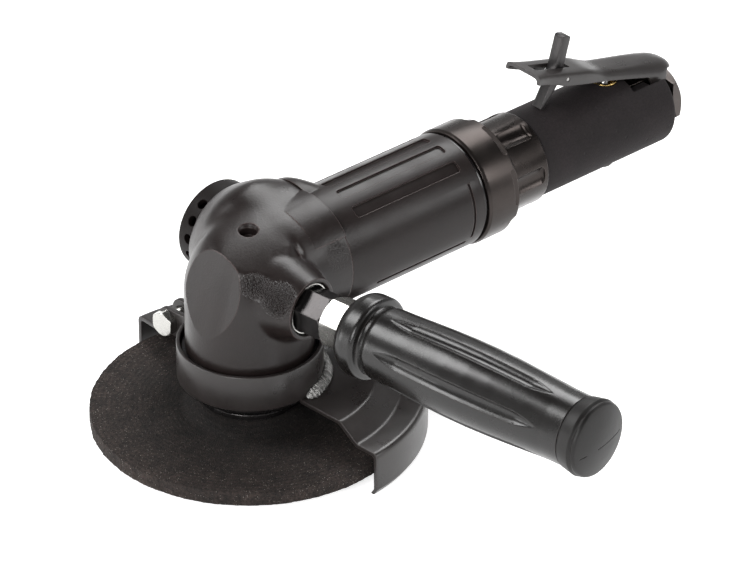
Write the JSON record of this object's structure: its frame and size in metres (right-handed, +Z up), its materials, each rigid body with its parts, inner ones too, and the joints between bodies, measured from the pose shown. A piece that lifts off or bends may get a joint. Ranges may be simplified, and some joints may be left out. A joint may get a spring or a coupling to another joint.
{
  "type": "pneumatic angle grinder",
  "caption": "Right-angle air grinder with a depressed-centre wheel, swivelling guard, bevel gears, vane motor, lever throttle with lock-off latch, and side handle.",
  "frame": {"origin": "centre of the spindle's flat free end, on the spindle's axis", "axes": "+Z up along the spindle away from the work, +X along the motor to the air inlet, -Y towards the side handle"},
  "size_m": [0.2795, 0.2383, 0.1137],
  "materials": {
    "black_steel": "black oxide",
    "casting": "black satin coating over cast aluminium",
    "gear_steel": "case-hardened steel, oiled",
    "grit": "dark bonded abrasive with glass-fibre mesh",
    "housing": "black anodised, satin",
    "phenolic": "brown phenolic laminate",
    "plastic": "moulded black plastic, semi-gloss",
    "rubber": "fine-grained black rubber",
    "sheet": "black satin powder coat on pressed steel",
    "steel": "ground steel",
    "weld": "bare weld metal, part painted",
    "zinc": "bright zinc plate"
  },
  "bodies": {
    "grinder_body": {"gear_housing": "casting", "exhaust_cap": "casting", "bearing_cap": "black_steel", "spindle_seal": "rubber", "lower_bearing": "steel", "upper_bearing": "steel", "motor_housing": "housing", "joint_seal": "rubber", "front_plate": "steel", "front_bearing": "steel", "cylinder_liner": "steel", "rear_plate": "steel", "rear_bearing": "steel", "clamp_ring": "housing", "throttle_body": "housing", "grip_sleeve": "rubber", "inlet_bushing": "zinc", "inlet_screen": "steel", "valve_bushing": "zinc", "valve_spring": "steel", "valve_plug": "black_steel", "lever_pin": "zinc", "lever_pin_clip": "zinc", "handle_stud": "steel", "handle_washer": "zinc", "handle_nut": "black_steel", "handle_coupler": "zinc", "handle_grip": "plastic", "handle_end_cap": "plastic"},
    "spindle_set": {"spindle": "steel", "gear_key": "steel", "bevel_gear": "gear_steel", "wheel_flange": "steel", "grinding_wheel": "grit", "wheel_lock_nut": "black_steel"},
    "rotor_set": {"rotor": "steel", "pinion": "gear_steel", "vane_1": "phenolic", "vane_2": "phenolic", "vane_3": "phenolic", "vane_4": "phenolic"},
    "lever_set": {"throttle_lever": "black_steel", "latch_pin": "steel", "latch_spring": "steel"},
    "latch_set": {"lock_latch": "black_steel"},
    "valve_set": {"valve_stem": "steel"},
    "guard_set": {"guard_collar": "sheet", "guard_shroud": "sheet", "weld_bead": "weld", "clamp_bolt": "zinc", "clamp_nut": "black_steel"}
  },
  "joints": [
    {"name": "spindle_spin", "type": "hinge", "parent": "grinder_body", "child": "spindle_set", "pos_m": [0, 0, 0], "axis": [0, 0, 1], "continuous": true},
    {"name": "rotor_spin", "type": "hinge", "parent": "grinder_body", "child": "rotor_set", "pos_m": [0, 0, 0.0618], "axis": [1, 0, 0], "continuous": true},
    {"name": "throttle_lever", "type": "hinge", "parent": "grinder_body", "child": "lever_set", "pos_m": [0.2065, 0, 0.0718], "axis": [0, -1, 0], "range_deg": [0, 7], "stiffness_Nm_per_rad": 1, "springref_deg": -28.65},
    {"name": "lock_latch", "type": "hinge", "parent": "lever_set", "child": "latch_set", "pos_m": [0.15707, 0, 0.09315], "axis": [0, 1, 0], "range_deg": [0, 42.2]},
    {"name": "valve_stem", "type": "slide", "parent": "grinder_body", "child": "valve_set", "axis": [0, 0, -1], "range_m": [0, 0.00302], "deforming": ["valve_spring"]},
    {"name": "guard_swivel", "type": "hinge", "parent": "grinder_body", "child": "guard_set", "pos_m": [0, 0, 0], "axis": [0, 0, 1], "range_deg": [-90, 90]}
  ],
  "couplings": [
    {"joint": "rotor_spin", "follows": "spindle_spin", "ratio": 2},
    {"joint": "lock_latch", "follows": "throttle_lever", "ratio": 6},
    {"joint": "valve_stem", "follows": "throttle_lever", "m_per_rad": 0.0246}
  ]
}
